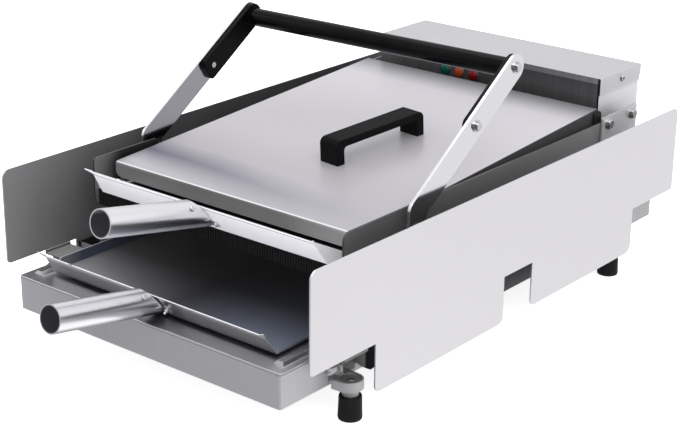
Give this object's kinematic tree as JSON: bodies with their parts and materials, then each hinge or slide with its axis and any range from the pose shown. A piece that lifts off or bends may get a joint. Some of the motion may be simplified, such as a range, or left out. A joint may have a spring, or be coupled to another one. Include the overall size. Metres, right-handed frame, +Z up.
{
  "type": "burger bun toaster",
  "caption": "Countertop double-layer burger bun toaster with slide-out trays, hinged heated lid, liftable upper unit and folding bail handle.",
  "frame": {"origin": "bottom centre of the whole toaster, on the plane the rubber feet stand on", "axes": "+X to the right seen from the front, +Y from the tray handles to the back, +Z up"},
  "size_m": [0.3996, 0.7648, 0.2902],
  "materials": {
    "sheet_steel": "fine brushed sheet",
    "guard_steel": "bright polished sheet",
    "dark_steel": "heat-darkened satin sheet",
    "polished_steel": "polished",
    "plate_aluminium": "milled",
    "element_steel": "oxidised tube",
    "mineral_wool": "fibrous pad",
    "fastener_steel": "bright zinc",
    "foot_metal": "turned",
    "foot_rubber": "matte",
    "black_plastic": "satin",
    "light_plastic": "satin",
    "bezel_chrome": "polished",
    "lens_green": "translucent gloss",
    "lens_orange": "translucent gloss",
    "lens_red": "translucent gloss"
  },
  "bodies": {
    "base": {"base_shell": "sheet_steel", "base_top_plate": "sheet_steel", "base_bottom_cover": "dark_steel", "base_screws": "fastener_steel", "lower_platen": "plate_aluminium", "lower_heating_elements": "element_steel", "lower_insulation": "mineral_wool", "guide_rails": "sheet_steel", "guard_right": "guard_steel", "guard_left": "guard_steel", "foot_brackets": "sheet_steel", "guard_channels": "sheet_steel", "bracket_bolts": "fastener_steel", "foot_caps": "foot_metal", "foot_rubbers": "foot_rubber", "rest_posts": "sheet_steel", "control_box_shell": "sheet_steel", "control_box_cover": "sheet_steel", "box_cover_screws": "fastener_steel", "lamp_green": "lens_green", "lamp_orange": "lens_orange", "lamp_red": "lens_red", "lamp_bezels": "bezel_chrome", "terminal_block": "light_plastic", "contactor": "black_plastic", "thermostats": "fastener_steel", "cord_gland": "black_plastic", "switch_frame": "black_plastic", "hinge_bracket_right": "sheet_steel", "hinge_bracket_left": "sheet_steel", "hinge_bolts": "fastener_steel"},
    "upper_unit": {"side_plate_right": "dark_steel", "side_plate_left": "dark_steel", "middle_platen": "plate_aluminium", "middle_heating_elements": "element_steel", "middle_front_bar": "dark_steel", "middle_top_sheet": "sheet_steel", "middle_rear_bar": "dark_steel", "lid_hinge_ears": "sheet_steel", "lid_hinge_pins": "fastener_steel", "upper_guides": "sheet_steel", "bail_pivot_bolts": "fastener_steel", "bail_stop_pins": "fastener_steel"},
    "lid": {"lid_cover": "sheet_steel", "lid_platen": "plate_aluminium", "lid_heating_elements": "element_steel", "lid_insulation": "mineral_wool", "lid_handle": "black_plastic", "lid_handle_screws": "fastener_steel"},
    "bail": {"bail_arm_right": "polished_steel", "bail_arm_left": "polished_steel", "bail_grip": "black_plastic", "bail_bolts": "fastener_steel"},
    "lower_pan": {"lower_tray": "sheet_steel", "lower_tray_handle": "polished_steel", "lower_tray_fasteners": "fastener_steel"},
    "upper_pan": {"upper_tray": "sheet_steel", "upper_tray_handle": "polished_steel", "upper_tray_fasteners": "fastener_steel"},
    "rocker": {"switch_rocker": "black_plastic"}
  },
  "joints": [
    {"name": "upper_lift", "type": "hinge", "parent": "base", "child": "upper_unit", "pos_m": [0, 0.27433, 0.1698], "axis": [-1, 0, 0], "range_deg": [0, 28]},
    {"name": "lid_hinge", "type": "hinge", "parent": "upper_unit", "child": "lid", "pos_m": [0, 0.26233, 0.18], "axis": [-1, 0, 0], "range_deg": [0, 15]},
    {"name": "bail_hinge", "type": "hinge", "parent": "upper_unit", "child": "bail", "pos_m": [0, -0.08082, 0.15], "axis": [1, 0, 0], "range_deg": [0, 110]},
    {"name": "upper_tray_slide", "type": "slide", "parent": "upper_unit", "child": "upper_pan", "axis": [0, -1, 0], "range_m": [0, 0.3]},
    {"name": "lower_tray_slide", "type": "slide", "parent": "base", "child": "lower_pan", "axis": [0, -1, 0], "range_m": [0, 0.3]},
    {"name": "switch_rock", "type": "hinge", "parent": "base", "child": "rocker", "pos_m": [-0.095, 0.36133, 0.15], "axis": [1, 0, 0], "range_deg": [0, 14]}
  ]
}
